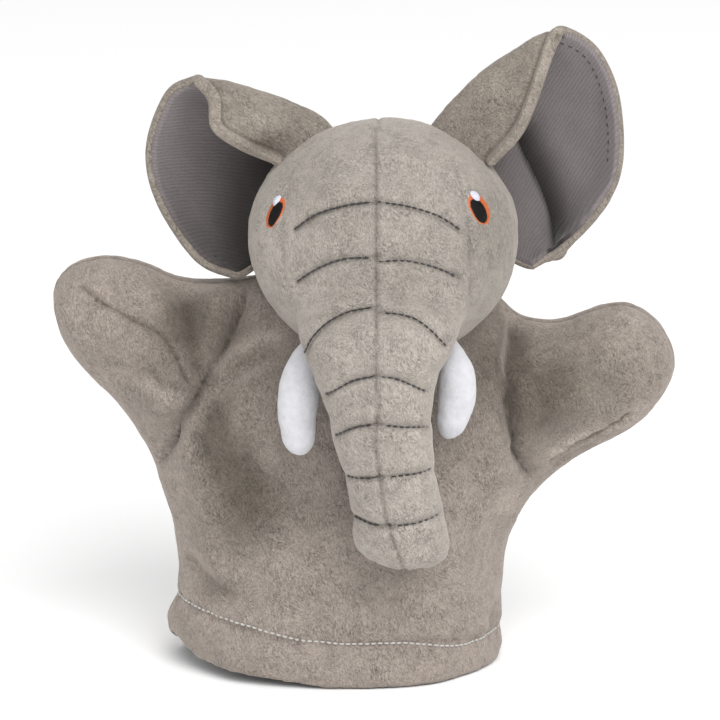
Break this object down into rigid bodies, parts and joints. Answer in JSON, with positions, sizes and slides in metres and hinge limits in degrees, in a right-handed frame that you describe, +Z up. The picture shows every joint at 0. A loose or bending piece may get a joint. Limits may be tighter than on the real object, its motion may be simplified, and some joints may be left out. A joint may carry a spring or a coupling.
{
  "type": "glove puppet",
  "caption": "Plush elephant glove puppet: hollow body with two finger sleeves, stuffed head with a finger pocket, folding trunk, swinging ears and felt tusks.",
  "frame": {"origin": "middle of the hem opening, on the flat bottom edge of the hem", "axes": "+X towards the puppet's left, -Y towards its front, +Z up"},
  "size_m": [0.2345, 0.1226, 0.2481],
  "materials": {
    "grey_plush": "short-pile plush, matt with a soft sheen",
    "pale_plush": "short-pile plush, matt with a soft sheen",
    "ear_lining": "fine-ribbed cloth, matt",
    "white_felt": "brushed felt",
    "stuffing": "loose polyester fibre",
    "dark_thread": "sewing thread",
    "white_thread": "sewing thread",
    "orange_thread": "satin-stitch embroidery",
    "black_thread": "satin-stitch embroidery",
    "pocket_cloth": "plain woven cloth"
  },
  "bodies": {
    "glove": {"glove_front_panel": "grey_plush", "glove_back_panel": "grey_plush", "hem_band": "grey_plush", "hem_stitching": "white_thread"},
    "right_shoulder": {"right_shoulder_cloth": "grey_plush"},
    "right_arm": {"right_sleeve_front": "grey_plush", "right_sleeve_back": "grey_plush"},
    "left_shoulder": {"left_shoulder_cloth": "grey_plush"},
    "left_arm": {"left_sleeve_front": "grey_plush", "left_sleeve_back": "grey_plush"},
    "neck": {"neck_cloth": "grey_plush"},
    "head": {"head_back_panel": "pale_plush", "right_cheek_panel": "pale_plush", "left_cheek_panel": "pale_plush", "right_face_panel": "pale_plush", "left_face_panel": "pale_plush", "head_base_panel": "pocket_cloth", "head_stuffing": "stuffing", "finger_pocket": "pocket_cloth", "brow_stitching": "dark_thread", "trunk_root_right_panel": "pale_plush", "trunk_root_left_panel": "pale_plush", "trunk_root_stuffing": "stuffing", "trunk_upper_fold": "pale_plush", "right_eye_iris": "orange_thread", "right_eye_pupil": "black_thread", "right_eye_glint": "white_thread", "left_eye_iris": "orange_thread", "left_eye_pupil": "black_thread", "left_eye_glint": "white_thread"},
    "trunk_middle": {"trunk_middle_right_panel": "pale_plush", "trunk_middle_left_panel": "pale_plush", "trunk_middle_stuffing": "stuffing", "trunk_middle_stitching": "dark_thread", "trunk_lower_fold": "pale_plush"},
    "trunk_tip": {"trunk_tip_right_panel": "pale_plush", "trunk_tip_left_panel": "pale_plush", "trunk_tip_stuffing": "stuffing", "trunk_tip_stitching": "dark_thread"},
    "right_ear": {"right_ear_back": "grey_plush", "right_ear_lining": "ear_lining", "right_ear_stitching": "dark_thread"},
    "left_ear": {"left_ear_back": "grey_plush", "left_ear_lining": "ear_lining", "left_ear_stitching": "dark_thread"},
    "right_tusk": {"right_tusk_felt": "white_felt", "right_tusk_stuffing": "stuffing"},
    "left_tusk": {"left_tusk_felt": "white_felt", "left_tusk_stuffing": "stuffing"}
  },
  "joints": [
    {"name": "head_turn", "type": "hinge", "parent": "glove", "child": "neck", "pos_m": [0.012, -0.002, 0.128], "axis": [0, 0, 1], "range_deg": [-12, 14], "stiffness_Nm_per_rad": 0.12, "deforming": ["neck_cloth"]},
    {"name": "head_nod", "type": "hinge", "parent": "neck", "child": "head", "pos_m": [0.012, -0.002, 0.13], "axis": [1, 0, 0], "range_deg": [-16, 3], "stiffness_Nm_per_rad": 0.2},
    {"name": "trunk_lift", "type": "hinge", "parent": "head", "child": "trunk_middle", "pos_m": [0.013, -0.062, 0.1205], "axis": [-1, 0, 0], "range_deg": [-3, 30], "stiffness_Nm_per_rad": 0.03, "deforming": ["trunk_upper_fold"]},
    {"name": "trunk_curl", "type": "hinge", "parent": "trunk_middle", "child": "trunk_tip", "pos_m": [0.0175, -0.06, 0.0885], "axis": [-1, 0, 0], "range_deg": [-3, 30], "stiffness_Nm_per_rad": 0.02, "deforming": ["trunk_lower_fold"]},
    {"name": "right_arm_raise", "type": "hinge", "parent": "glove", "child": "right_shoulder", "pos_m": [-0.048, 0.001, 0.106], "axis": [0, 1, 0], "range_deg": [-9, 5], "stiffness_Nm_per_rad": 0.08, "deforming": ["right_shoulder_cloth"]},
    {"name": "right_arm_swing", "type": "hinge", "parent": "right_shoulder", "child": "right_arm", "pos_m": [-0.048, 0.001, 0.106], "axis": [0, 0, 1], "range_deg": [-8, 24], "stiffness_Nm_per_rad": 0.08},
    {"name": "left_arm_raise", "type": "hinge", "parent": "glove", "child": "left_shoulder", "pos_m": [0.051, 0.001, 0.096], "axis": [0, -1, 0], "range_deg": [-8, 9], "stiffness_Nm_per_rad": 0.08, "deforming": ["left_shoulder_cloth"]},
    {"name": "left_arm_swing", "type": "hinge", "parent": "left_shoulder", "child": "left_arm", "pos_m": [0.051, 0.001, 0.096], "axis": [0, 0, -1], "range_deg": [-8, 16], "stiffness_Nm_per_rad": 0.08},
    {"name": "right_ear_flap", "type": "hinge", "parent": "head", "child": "right_ear", "pos_m": [-0.0338, -0.008, 0.155], "axis": [0.4699, 0, 0.8827], "range_deg": [-12, 6], "stiffness_Nm_per_rad": 0.02},
    {"name": "left_ear_flap", "type": "hinge", "parent": "head", "child": "left_ear", "pos_m": [0.0628, -0.008, 0.156], "axis": [0.4699, 0, -0.8827], "range_deg": [-12, 6], "stiffness_Nm_per_rad": 0.02},
    {"name": "right_tusk_sway", "type": "hinge", "parent": "head", "child": "right_tusk", "pos_m": [-0.0205, -0.0435, 0.137], "axis": [0, 1, 0], "range_deg": [-3, 10], "stiffness_Nm_per_rad": 0.01},
    {"name": "left_tusk_sway", "type": "hinge", "parent": "head", "child": "left_tusk", "pos_m": [0.0453, -0.041, 0.1352], "axis": [0, -1, 0], "range_deg": [-3, 10], "stiffness_Nm_per_rad": 0.01}
  ],
  "couplings": [
    {"joint": "trunk_curl", "follows": "trunk_lift", "ratio": 1}
  ]
}
